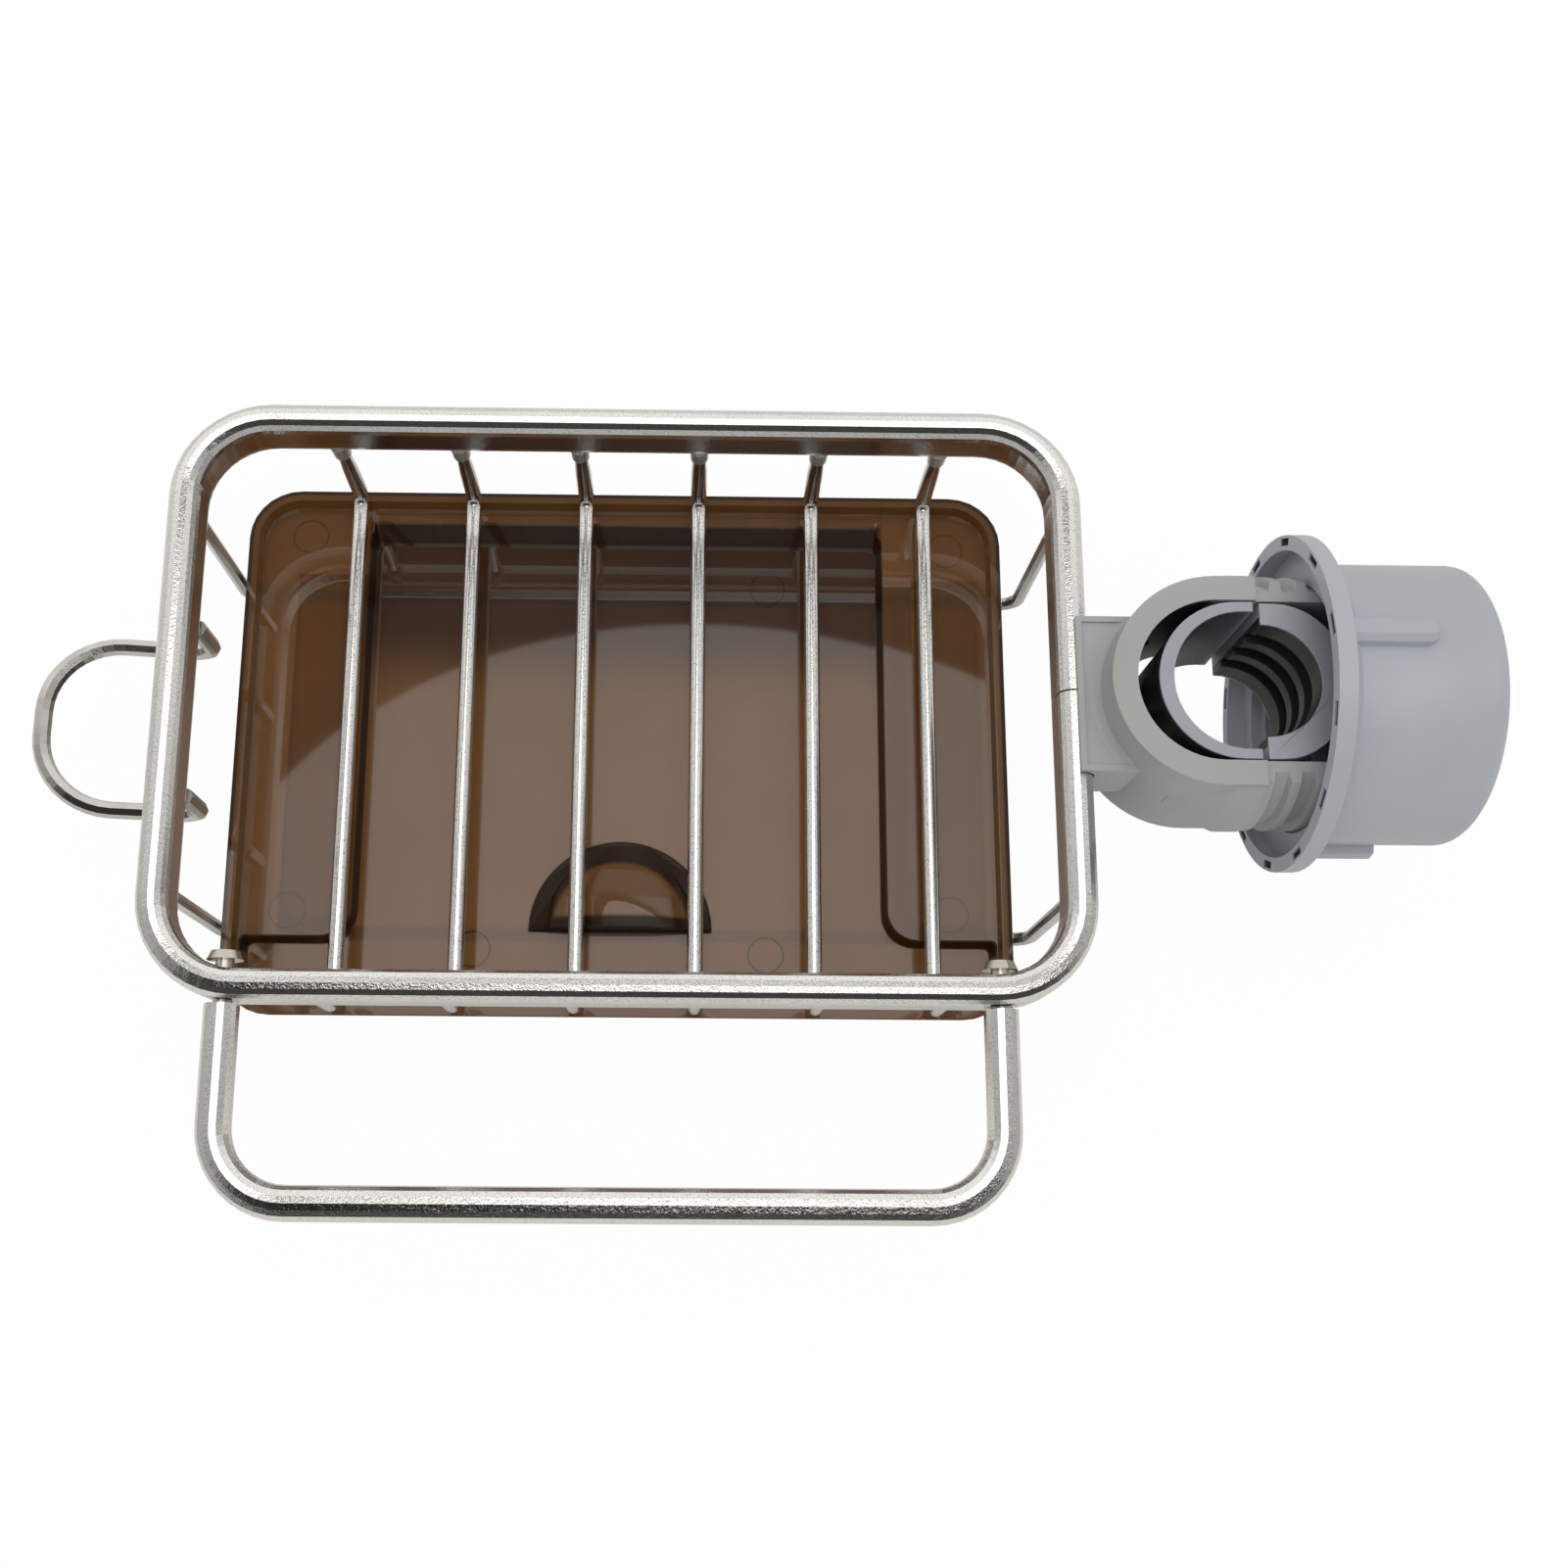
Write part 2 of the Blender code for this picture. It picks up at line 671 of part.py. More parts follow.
def build_tray():
    tray = loft("drip_tray", [tray_ring(tray_draft, tray_bottom), tray_ring(0.0, tray_top)], parts,
                smoked_plastic("tray_plastic"))
    above = tray_top + cut_margin
    combine(tray, loft("tray_upper_space", [tray_ring(tray_wall + tray_draft, tray_shelf),
                                            tray_ring(tray_wall, above)], cutters), 'DIFFERENCE')
    combine(tray, loft("tray_well", [well_ring(well_draft, tray_floor),
                                     well_ring(0.0, tray_shelf + overlap)], cutters), 'DIFFERENCE')
    half_ledge = platform_edge - well_draft
    wall_face = tray_half_depth - tray_wall - tray_draft - well_draft
    ledge = box("tray_ledge", (tray_offset - half_ledge, wall_face - ledge_depth, tray_top - ledge_drop),
                (tray_offset + half_ledge, wall_face, tray_shelf + overlap), cutters)
    combine(tray, ledge, 'DIFFERENCE')
    # Hollow undersides of the platforms
    inner = platform_edge + pocket_wall
    outer = tray_half_length - tray_draft - pocket_wall
    back = tray_half_depth - tray_draft - pocket_wall
    front = platform_front + pocket_wall
    half_length = (outer - inner) / 2
    half_depth = (back - front) / 2
    roof = tray_shelf - tray_floor_thickness
    for side in (-1, 1):
        middle = (tray_offset + side * (inner + outer) / 2, (front + back) / 2)
        rings = []
        for inset, height in ((0.0, tray_bottom - cut_margin), (well_draft, roof)):
            ring = rectangle(half_length - inset, half_depth - inset, pocket_corner_radius, middle)
            rings.append(raised(ring, height))
        combine(tray, loft("platform_hollow", rings, cutters), 'DIFFERENCE')
    combine(tray, finger_pull(0.0, tray_bottom + overlap), 'UNION')
    combine(tray, finger_pull(finger_pull_shell, tray_bottom - overlap), 'DIFFERENCE')
    set_origin(tray, (tray_offset, 0.0, tray_bottom))
    smooth(tray)


# Pipe clamp: one ridge of flat crest and sloped flanks is the thread of both arms and nut

def thread_ridge(name, first_turn, turns, growth):
    half_crest = thread_crest_width / 2 + growth
    half_base = half_crest + thread_flank
    base = thread_root_radius - overlap
    crest = thread_crest_radius + growth
    # The winding starts at the bottom, half a pitch before the ridge's place at the top
    begin = thread_first + (first_turn - 1 / 2) * thread_pitch
    profile = [(begin + half_base, base), (begin + half_crest, crest),
               (begin - half_crest, crest), (begin - half_base, base)]
    ridge = turned(name, profile, cutters, steps=thread_steps, rise=thread_pitch, turns=turns,
                   angle=thread_start_angle, closed=True)
    form = bmesh.new()
    form.from_mesh(ridge.data)
    bmesh.ops.triangulate(form, faces=form.faces)
    form.to_mesh(ridge.data)
    form.free()
    return ridge


def build_threaded_arms():
    barrel_radius = thread_crest_radius + barrel_margin
    barrel_tip = yoke_outer_radius - barrel_sink
    profile = [(thread_end + overlap, 0.0), (thread_end + overlap, thread_root_radius),
               (yoke_arm_end, thread_root_radius), (yoke_arm_end, barrel_radius),
               (barrel_full, barrel_radius), (barrel_start, barrel_tip), (barrel_start, 0.0)]
    core = turned("threaded_arms", profile, cutters)
    combine(core, thread_ridge("arm_thread", 0, arm_thread_turns, 0.0), 'UNION')
    reach = barrel_radius * 2
    past_end = thread_end + reach
    combine(core, box("thread_end_cut", (thread_end, -reach, -reach), (past_end, reach, reach), cutters),
            'DIFFERENCE')
    for side in (-1, 1):
        low, high = sorted((side * thread_land_height, side * reach))
        combine(core, box("arm_face_cut", (yoke_arm_end, -reach, low), (past_end, reach, high), cutters),
                'DIFFERENCE')
        low, high = sorted((side * yoke_half_height, side * reach))
        combine(core, box("barrel_face_cut", (-reach, -reach, low), (reach, reach, high), cutters),
                'DIFFERENCE')
    return mesh_from(core, "threaded_arms", cutters)


def mounting_block(bottom, top):
    # A box with a shallow bordered pocket on top, open towards the yoke
    end = block_start + block_length
    block = box("clamp_block", (block_start, -block_half_depth, bottom),
                (end, block_half_depth, top), cutters)
    half_pocket = block_half_depth - block_edge_width
    floor = top - block_pocket_depth
    combine(block, box("block_pocket", (block_start + block_edge_width, -half_pocket, floor),
                       (end + cut_margin, half_pocket, top + cut_margin), cutters), 'DIFFERENCE')
    return block


def yoke_fillet(floor):
    # Rounded inner corner between the block's pocket and the yoke's side
    reach = yoke_outer_radius + yoke_fillet_radius
    rings = [raised(arc(yoke_axis, reach, math.pi / 2, math.pi * 3 / 2, wide_arc_steps), floor - overlap)]
    for step in range(bend_steps + 1):
        turn = math.pi / 2 * (1 - step / bend_steps)
        ring = arc(yoke_axis, reach - yoke_fillet_radius * math.cos(turn), math.pi / 2, math.pi * 3 / 2,
                   wide_arc_steps)
        rings.append(raised(ring, floor + yoke_fillet_radius * (1 - math.sin(turn))))
    fillet = loft("yoke_fillet", rings, cutters)
    half_pocket = block_half_depth - block_edge_width
    combine(fillet, box("pocket_column", (yoke_axis - reach * 2, -half_pocket, floor - cut_margin),
                        (yoke_axis - cut_margin, half_pocket, floor + cut_margin), cutters), 'INTERSECT')
    return fillet


def build_clamp_body():
    rings = []
    for flare, height in ((yoke_base_flare, -yoke_half_height), (0.0, yoke_half_height)):
        outline = half_ring(yoke_axis, yoke_outer_radius + flare, yoke_axis, yoke_inner_radius, yoke_arm_end)
        rings.append(raised(outline, height))
    body = loft("clamp_body", rings, parts, grey_plastic("clamp_plastic"))
    rim_level = -clamp_rise
    block_top = rim_level + block_height / 2 - block_lift
    combine(body, mounting_block(block_top - block_height, block_top), 'UNION')
    combine(body, yoke_fillet(block_top - block_pocket_depth), 'UNION')
    combine(body, build_threaded_arms(), 'UNION')
    tall = yoke_half_height + cut_margin
    combine(body, plate("yoke_space", pipe_slot(yoke_axis, yoke_inner_radius, thread_end + cut_margin),
                        -tall, tall, cutters), 'DIFFERENCE')
    # Channel that hugs the outer half of the rim bar
    reach = block_half_depth + cut_margin
    channel = plate("rim_channel", oval(rim_bar_width + 2 * seat_gap, rim_bar_height + 2 * seat_gap),
                    -reach, reach, cutters)
    channel.rotation_euler.x = math.pi / 2
    channel.location = (-clamp_reach, 0.0, rim_level)
    combine(body, channel, 'DIFFERENCE')
    head_space = block_screw_head_diameter / 2 + seat_gap
    for side in (-1, 1):
        depth = side * block_screw_spacing / 2
        combine(body, round_bar("block_screw_hole", (block_start - cut_margin, depth, rim_level),
                                (yoke_axis, depth, rim_level), block_hole_radius, cutters, steps=hole_steps),
                'DIFFERENCE')
        combine(body, round_bar("block_screw_recess", (block_screw_seat, depth, rim_level),
                                (yoke_axis, depth, rim_level), head_space, cutters, steps=hole_steps),
                'DIFFERENCE')
    smooth(body)


def build_fixed_half_sleeve():
    outline = half_ring(sleeve_axis, sleeve_outer_radius, 0.0, pipe_radius, sleeve_end)
    sleeve = plate("fixed_half_sleeve", outline, -sleeve_half_height, sleeve_half_height, parts,
                   grey_plastic("sleeve_plastic"))
    half = sleeve_fin_thickness / 2
    for side in (-1, 1):
        middle = side * sleeve_fin_spacing / 2
        reach = math.sqrt(yoke_inner_radius ** 2 - (abs(middle) + half) ** 2)
        combine(sleeve, box("sleeve_fin", (yoke_axis - reach + seat_gap, middle - half, -sleeve_half_height),
                            (sleeve_axis - sleeve_outer_radius + sleeve_fin_thickness, middle + half,
                             sleeve_fin_top), cutters), 'UNION')
    smooth(sleeve)


def build_pressing_half_sleeve():
    half_width = yoke_inner_radius - saddle_side_gap
    outline = [Vector((saddle_start, half_width, 0.0))]
    for point in arc(0.0, 1.0, math.pi / 2, -math.pi / 2, half_round_steps):
        outline.append(Vector((saddle_round_start + saddle_back_length * point.x, half_width * point.y, 0.0)))
    outline.append(Vector((saddle_start, -half_width, 0.0)))
    saddle = plate("pressing_half_sleeve", outline, -saddle_half_height, saddle_half_height, parts,
                   dark_grey_plastic("saddle_plastic"))
    tall = saddle_half_height + cut_margin
    combine(saddle, round_bar("saddle_bore", (saddle_start, 0.0, -tall), (saddle_start, 0.0, tall),
                              saddle_bore_radius, cutters), 'DIFFERENCE')
    for index in (-1, 0, 1):
        middle = index * saddle_groove_pitch
        half = saddle_groove_width / 2
        combine(saddle, round_bar("saddle_groove", (saddle_start, 0.0, middle - half),
                                  (saddle_start, 0.0, middle + half),
                                  saddle_bore_radius + saddle_groove_depth, cutters), 'DIFFERENCE')
    back = saddle_round_start + saddle_back_length
    combine(saddle, round_bar("saddle_stem", (back - saddle_stem_root, 0.0, 0.0),
                              (back + saddle_stem_length, 0.0, 0.0), saddle_stem_radius, cutters), 'UNION')
    smooth(saddle)


def nut_profile():
    flange_back = nut_face + nut_flange_thickness
    mouth_end = nut_face + nut_mouth_depth
    nut_end = nut_face + nut_length
    bore_end = nut_face + nut_bore_length
    inner_end = nut_face + nut_inner_length
    mouth = thread_crest_radius + nut_mouth_gap
    bore = thread_root_radius + thread_clearance
    relief = thread_root_radius + nut_relief_depth
    points = [(nut_end, 0.0)]
    for step in range(bend_steps + 1):
        turn = math.pi / 2 * step / bend_steps
        points.append((nut_end - nut_end_round * (1 - math.cos(turn)),
                       nut_body_radius - nut_end_round * (1 - math.sin(turn))))
    shoulder_edge = flange_back + nut_shoulder_length * nut_shoulder_share
    points += [(flange_back + nut_shoulder_length, nut_body_radius),
               (shoulder_edge, nut_flange_radius - nut_shoulder_length),
               (flange_back, nut_flange_radius), (nut_face, nut_flange_radius), (nut_face, mouth),
               (mouth_end, mouth), (mouth_end, bore), (bore_end, bore),
               (bore_end, relief), (inner_end, relief), (inner_end, 0.0)]
    return points


def grip_rib():
    # A rib with a crowned back and a round end, standing on the nut's side
    half = nut_rib_width / 2
    start = nut_face + nut_rib_setback
    end = start + nut_rib_length
    outline = rounded_line([(start, -half, 0.0), (end, -half, 0.0), (end, half, 0.0), (start, half, 0.0)],
                           [0.0, half, half, 0.0], bend_steps, closed=True)
    crown = nut_rib_height * (1 - nut_rib_crown_share)
    rings = []
    for height, inset in ((-nut_rib_sink, 0.0), (nut_rib_height - crown, 0.0), (nut_rib_height, crown)):
        share = (half - inset) / half
        rings.append([Vector((min(point.x, end - inset), point.y * share, nut_body_radius + height))
                      for point in outline])
    return rings


def build_nut():
    nut = turned("clamp_nut", nut_profile(), parts, grey_plastic("nut_plastic"))
    groove = thread_ridge("nut_thread", nut_thread_first, nut_thread_turns, thread_clearance)
    combine(nut, groove, 'DIFFERENCE')
    for index in range(nut_rib_count):
        rib = loft("grip_rib", grip_rib(), cutters)
        rib.rotation_euler.x = index * 2 * math.pi / nut_rib_count - nut_rib_first_angle
        combine(nut, rib, 'UNION')
    half_width = nut_notch_width / 2
    half_length = nut_notch_length / 2
    middle = nut_flange_radius - nut_notch_inset
    for index in range(nut_notch_count):
        notch = box("flange_notch", (nut_face - cut_margin, -half_length, middle - half_width),
                    (nut_face + nut_notch_depth, half_length, middle + half_width), cutters)
        notch.rotation_euler.x = index * 2 * math.pi / nut_notch_count - nut_notch_first_angle
        combine(nut, notch, 'DIFFERENCE')
    smooth(nut)


def place_basket():
    # Everything made around the rim's middle hangs on one frame beside the clamp
    basket = bpy.data.objects.new("basket_frame", None)
    basket.location = (-clamp_reach - rim_half_length, 0.0, -clamp_rise)
    for item in list(parts.objects) + list(cutters.objects):
        item.parent = basket
    parts.objects.link(basket)


clear_scene()
parts = new_collection("faucet_caddy")
cutters = new_collection("cutters")
build_rim()
build_cross_wires()
build_tray_rails()
build_brush_hook()
build_towel_bar()
build_towel_bar_screws()
build_tray()
place_basket()
build_clamp_body()
build_clamp_screws()
build_fixed_half_sleeve()
build_pressing_half_sleeve()
build_nut()
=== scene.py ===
import math

import bpy
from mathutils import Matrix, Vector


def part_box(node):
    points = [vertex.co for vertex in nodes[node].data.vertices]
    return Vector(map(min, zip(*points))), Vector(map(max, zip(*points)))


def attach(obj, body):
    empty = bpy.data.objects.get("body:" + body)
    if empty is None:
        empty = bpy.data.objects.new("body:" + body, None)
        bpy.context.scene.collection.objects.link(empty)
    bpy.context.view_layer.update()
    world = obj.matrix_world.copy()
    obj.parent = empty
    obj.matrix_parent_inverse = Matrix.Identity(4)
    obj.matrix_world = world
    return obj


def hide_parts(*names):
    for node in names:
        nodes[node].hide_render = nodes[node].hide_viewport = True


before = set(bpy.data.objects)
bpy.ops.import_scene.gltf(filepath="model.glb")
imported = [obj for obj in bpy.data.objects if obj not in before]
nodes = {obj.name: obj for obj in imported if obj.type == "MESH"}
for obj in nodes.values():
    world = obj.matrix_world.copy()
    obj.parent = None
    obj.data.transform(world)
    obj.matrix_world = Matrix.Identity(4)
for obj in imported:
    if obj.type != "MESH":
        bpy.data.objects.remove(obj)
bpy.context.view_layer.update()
bpy.ops.object.select_all(action='DESELECT')

# Places and sizes that the CAD model has, in metres
floor_level = -0.0421
rim_middle_x = -0.1057
rim_underside = -0.00585
tray_middle = -0.1071
tray_left = -0.1816
tray_right = 2 * tray_middle - tray_left
tray_back = 0.0525
tray_foot = -0.0390
tray_floor = -0.0374
# The tray's corners turn about points this far to the side of its middle, and this far back
tray_corner_side = 0.0645
tray_corner_back = 0.0425
well_half_length = 0.0512
channel_edge = -0.0368
pull_front = -0.0348
pull_radius = 0.0173
pull_dome_radius = 0.0128
saddle_axis = 0.0031
saddle_dark_radius = 0.0114
yoke_axis = -0.0042
yoke_inner_radius = 0.0142
sleeve_axis = -0.0008
sleeve_outer_radius = 0.0139
pipe_radius = 0.0122
clamp_height = 0.0136

# Round marks of the tray's ejector pins, across and along from the rim's middle
ejector_radius = 0.0034
ejector_places = [(-0.0644, 0.0439), (-0.0644, -0.0322), (-0.0297, -0.0385), (0.0271, 0.0356),
                  (0.0267, -0.0393), (0.0626, 0.0423), (0.0618, -0.0320)]

# Where the scene's copies differ from the CAD solids
wire_radius = 0.00155
ledge_height = -0.0329
ledge_shift = 0.0030
hollow_back_shift = 0.0125
hollow_side_shift = 0.0055
pull_slope_start = 0.0150
pull_slope_drop = 0.0014
pull_dome_edge = 0.0136
pull_crest = 0.0064


# Shader sheets: a socket is wrapped so that masks are written as sums and products

class Link:
    def __init__(self, sheet, socket):
        self.sheet = sheet
        self.socket = socket

    def maths(self, operation, other, swapped=False):
        first, second = (other, self) if swapped else (self, other)
        return self.sheet.add('ShaderNodeMath', {0: first, 1: second}, operation=operation)

    def __add__(self, other):
        return self.maths('ADD', other)

    def __radd__(self, other):
        return self.maths('ADD', other, True)

    def __sub__(self, other):
        return self.maths('SUBTRACT', other)

    def __rsub__(self, other):
        return self.maths('SUBTRACT', other, True)

    def __mul__(self, other):
        return self.maths('MULTIPLY', other)

    def __rmul__(self, other):
        return self.maths('MULTIPLY', other, True)

    def __truediv__(self, other):
        return self.maths('DIVIDE', other)

    def __rtruediv__(self, other):
        return self.maths('DIVIDE', other, True)

    def __pow__(self, other):
        return self.maths('POWER', other)

    def size(self):
        return self.maths('ABSOLUTE', 0.0)

    def lowest(self, other):
        return self.maths('MINIMUM', other)

    def highest(self, other):
        return self.maths('MAXIMUM', other)


class Sheet:
    def __init__(self, tree):
        self.tree = tree
        self.tree.nodes.clear()

    def set_input(self, socket, value):
        if isinstance(value, Link):
            self.tree.links.new(value.socket, socket)
        elif socket.type == 'RGBA' and len(value) == 3:
            socket.default_value = (*value, 1.0)
        else:
            socket.default_value = value

    def add(self, kind, inputs=None, output=0, **settings):
        node = self.tree.nodes.new(kind)
        for name, value in settings.items():
            setattr(node, name, value)
        for key, value in (inputs or {}).items():
            self.set_input(node.inputs[key], value)
        return Link(self, node.outputs[output])

    def end(self, kind, sockets):
        node = self.tree.nodes.new(kind)
        for key, value in sockets.items():
            self.set_input(node.inputs[key], value)

    def place(self):
        return self.add('ShaderNodeTexCoord', output='Object')

    def axes(self, vector=None):
        parts = self.tree.nodes.new('ShaderNodeSeparateXYZ')
        self.set_input(parts.inputs[0], vector or self.place())
        return [Link(self, output) for output in parts.outputs]

    def mix(self, factor, first, second):
        node = self.tree.nodes.new('ShaderNodeMix')
        node.data_type = 'RGBA'
        # Sockets 6 and 7 are the two colours of a Mix node
        for key, value in ((0, factor), (6, first), (7, second)):
            self.set_input(node.inputs[key], value)
        return Link(self, node.outputs[2])

    def noise(self, scale, detail=2.0, roughness=0.5):
        return self.add('ShaderNodeTexNoise', {'Vector': self.place(), 'Scale': scale,
                                               'Detail': detail, 'Roughness': roughness})

    def band(self, value, low, high):
        # 0 at low, 1 at high, smooth between. Low may be the greater of the two
        return self.add('ShaderNodeMapRange', {'Value': value, 'From Min': low, 'From Max': high},
                        interpolation_type='SMOOTHSTEP')

    def bump(self, height, strength, distance, normal=None):
        inputs = {'Height': height, 'Strength': strength, 'Distance': distance}
        if normal:
            inputs['Normal'] = normal
        return self.add('ShaderNodeBump', inputs)

    def shown_plainly(self):
        # 1 for what the camera sees, directly or through the tray
        return self.add('ShaderNodeLightPath', output='Is Camera Ray').highest(
            self.add('ShaderNodeLightPath', output='Is Transmission Ray'))


def new_material(name, viewport_colour):
    material = bpy.data.materials.new(name)
    material.use_nodes = True
    material.diffuse_color = (*viewport_colour, 1.0)
    return material, Sheet(material.node_tree)


def finish_material(sheet, volume=None, **inputs):
    # A shader input is named with low lines for its spaces
    names = {key.replace('_', ' '): value for key, value in inputs.items()}
    ends = {'Surface': sheet.add('ShaderNodeBsdfPrincipled', names)}
    if volume:
        ends['Volume'] = volume
    sheet.end('ShaderNodeOutputMaterial', ends)


def satin_metal(name, tone, roughness, grain_scale, grain_depth, pit_share=0.6):
    # Blasted steel: fine pits over a coarser grain, and slow changes of tone
    material, sheet = new_material(name, tone)
    grain = sheet.noise(grain_scale, 1.0, 0.6)
    coarse = sheet.noise(grain_scale / 2.6, 1.0)
    wide = sheet.noise(60.0, 2.0)
    dark = tuple(share * 0.94 for share in tone)
    pit = tuple(share * pit_share for share in tone)
    colour = sheet.mix(sheet.band(wide, 0.35, 0.7), tone, dark)
    colour = sheet.mix(sheet.band(grain, 0.50, 0.30), colour, pit)
    rough = roughness + (grain - 0.5) * 0.08 + (wide - 0.5) * 0.04
    finish_material(sheet, Base_Color=colour, Metallic=1.0, Roughness=rough,
                    Normal=sheet.bump(grain + coarse * 0.8, 1.0, grain_depth))
    return material


def drawn_wire_metal(name, tone, roughness):
    material, sheet = new_material(name, tone)
    wide = sheet.noise(140.0, 2.0)
    grain = sheet.noise(2600.0, 2.0)
    dark = tuple(share * 0.8 for share in tone)
    colour = sheet.mix(sheet.band(wide, 0.3, 0.75), tone, dark)
    finish_material(sheet, Base_Color=colour, Metallic=1.0,
                    Roughness=roughness + (grain - 0.5) * 0.1,
                    Normal=sheet.bump(grain, 0.08, 0.0001))
    return material


def clamp_plastic(name, tone, *zones):
    # Each zone is a mask and the tone that it has there
    material, sheet = new_material(name, tone)
    cloud = sheet.noise(38.0, 3.0)
    streak = sheet.noise(9.0, 3.0, 0.6)
    fine = sheet.noise(2200.0, 2.0)
    pale = tuple(min(1.0, share * 1.10) for share in tone)
    deep = tuple(share * 0.90 for share in tone)
    colour = sheet.mix(sheet.band(cloud, 0.3, 0.7), tone, pale)
    colour = sheet.mix(sheet.band(streak, 0.45, 0.7) * 0.5, colour, deep)
    for zone, zone_tone in zones:
        colour = sheet.mix(zone(sheet), colour, zone_tone)
    finish_material(sheet, Base_Color=colour, Roughness=0.38 + (cloud - 0.5) * 0.16, IOR=1.5,
                    Normal=sheet.bump(fine, 0.05, 0.0001))
    return material


# Masks on the clamp's mouldings; several of them paint shade into hollows and gaps

def reach_from(sheet, middle_x, middle_y=0.0):
    # Distance from an upright axis
    x, y = sheet.axes()[:2]
    return ((x - middle_x) ** 2.0 + (y - middle_y).size() ** 2.0) ** 0.5


def below_end_faces(sheet, half_height):
    z = sheet.axes()[2]
    return sheet.band(z.size(), half_height, half_height - 0.0005)


def saddle_bore_zone(sheet):
    # The bore that grips the pipe, between the two end faces
    reach = reach_from(sheet, saddle_axis)
    bore = sheet.band(reach, saddle_dark_radius + 0.0002, saddle_dark_radius)
    return bore * below_end_faces(sheet, clamp_height - 0.0003)


def sleeve_outside_painted_shade(sheet):
    # Painted shade on the sleeve's outer face, in the gap inside the yoke
    reach = reach_from(sheet, sleeve_axis)
    outside = sheet.band(reach, sleeve_outer_radius - 0.0004, sleeve_outer_radius)
    return outside * below_end_faces(sheet, clamp_height)


def sleeve_inside_painted_shade(sheet):
    # Painted shade on the sleeve's inner face round the pipe
    reach = reach_from(sheet, sleeve_axis)
    return sheet.band(reach, pipe_radius + 0.0004, pipe_radius) * below_end_faces(sheet, clamp_height)


def yoke_inside_painted_shade(sheet):
    # Painted shade on the left part of the yoke's inner wall, in the gap round the sleeve
    x = sheet.axes()[0]
    reach = reach_from(sheet, yoke_axis)
    ring = sheet.band(reach, yoke_inner_radius + 0.0006, yoke_inner_radius + 0.0002)
    return ring * below_end_faces(sheet, clamp_height + 0.0002) * sheet.band(x, -0.0030, -0.0060)


def nut_notch_painted_shade(sheet):
    # Painted shade on the floors of the notches in the flange's face
    x, y, z = sheet.axes()
    reach = (y.size() ** 2.0 + z.size() ** 2.0) ** 0.5
    ring = sheet.band(reach, 0.0271, 0.0273) * sheet.band(reach, 0.0294, 0.0292)
    return ring * sheet.band(x, 0.0113, 0.0111) * sheet.band(x, 0.0098, 0.0100)


def yoke_stain_zone(sheet):
    # Yellowish marks along the outer edge of the yoke's top face
    x, y, z = sheet.axes()
    edge = sheet.band(reach_from(sheet, yoke_axis, -0.001), 0.0155, 0.0180)
    left_side = sheet.band(y.size(), 0.0100, 0.0040) * sheet.band(x, -0.012, -0.016)
    mottled = sheet.band(sheet.noise(330.0, 4.0, 0.6), 0.38, 0.62)
    return edge * left_side * sheet.band(z, 0.0120, 0.0138) * (0.12 + mottled * 0.3)


# The tray's moulding

def tray_tones(sheet, well, within):
    # Painted light: paler where light comes through the outer parts and the back ledge. Painted shade:
    # darker towards the back of the well
    x, y = sheet.axes()[:2]
    clouding = sheet.band(sheet.noise(45.0, 2.0), 0.3, 0.7)
    platform = sheet.mix(clouding, (0.150, 0.056, 0.007), (0.128, 0.047, 0.005))
    lit_border = sheet.mix(clouding, (0.235, 0.108, 0.030), (0.210, 0.096, 0.026))
    shaded_well_back = sheet.mix(clouding, (0.066, 0.026, 0.009), (0.056, 0.022, 0.0075))
    well_front = sheet.mix(clouding, (0.205, 0.092, 0.026), (0.184, 0.082, 0.022))
    left = sheet.band(x, tray_left + 0.0100, tray_left + 0.0094)
    back = sheet.band(y, tray_back - 0.0168, tray_back - 0.0162)
    right = sheet.band(x, tray_right - 0.0050, tray_right - 0.0035)
    ledge = within * sheet.band(y, tray_back - 0.0055, tray_back - 0.0047)
    colour = sheet.mix(left.highest(back).highest(right), platform, lit_border)
    colour = sheet.mix(well, colour, sheet.mix(sheet.band(y, 0.027, 0.011), shaded_well_back, well_front))
    return sheet.mix(ledge, colour, lit_border)


def well_wall_painted_shade(sheet):
    # Painted shade on the upright walls round the well and in front of the platforms
    x, y, z = sheet.axes()
    near_well = sheet.band((x - tray_middle).size(), 0.0560, 0.0555)
    near_front = sheet.band(y, -0.0345, -0.0350)
    upright = sheet.band(z, tray_floor + 0.0004, tray_floor + 0.0008) * sheet.band(z, -0.0333, -0.0337)
    return upright * near_well.highest(near_front) * sheet.band(y, -0.0400, -0.0395)


def outer_wall_painted_shade(sheet):
    # Painted shade on the tray's outer wall, which leans in towards its foot
    x, y, z = sheet.axes()
    past_side = ((x - tray_middle).size() - tray_corner_side).highest(0.0)
    past_back = (y - tray_corner_back).highest(0.0)
    lean = (z - tray_foot) * 0.13
    return sheet.band((past_side ** 2.0 + past_back ** 2.0) ** 0.5 - lean, 0.0078, 0.0083)


def ejector_rings(sheet):
    rings = None
    for across, along in ejector_places:
        reach = reach_from(sheet, rim_middle_x + across, along)
        ring = sheet.band((reach - ejector_radius).size(), 0.00022, 0.00004)
        rings = ring if rings is None else rings.highest(ring)
    return rings


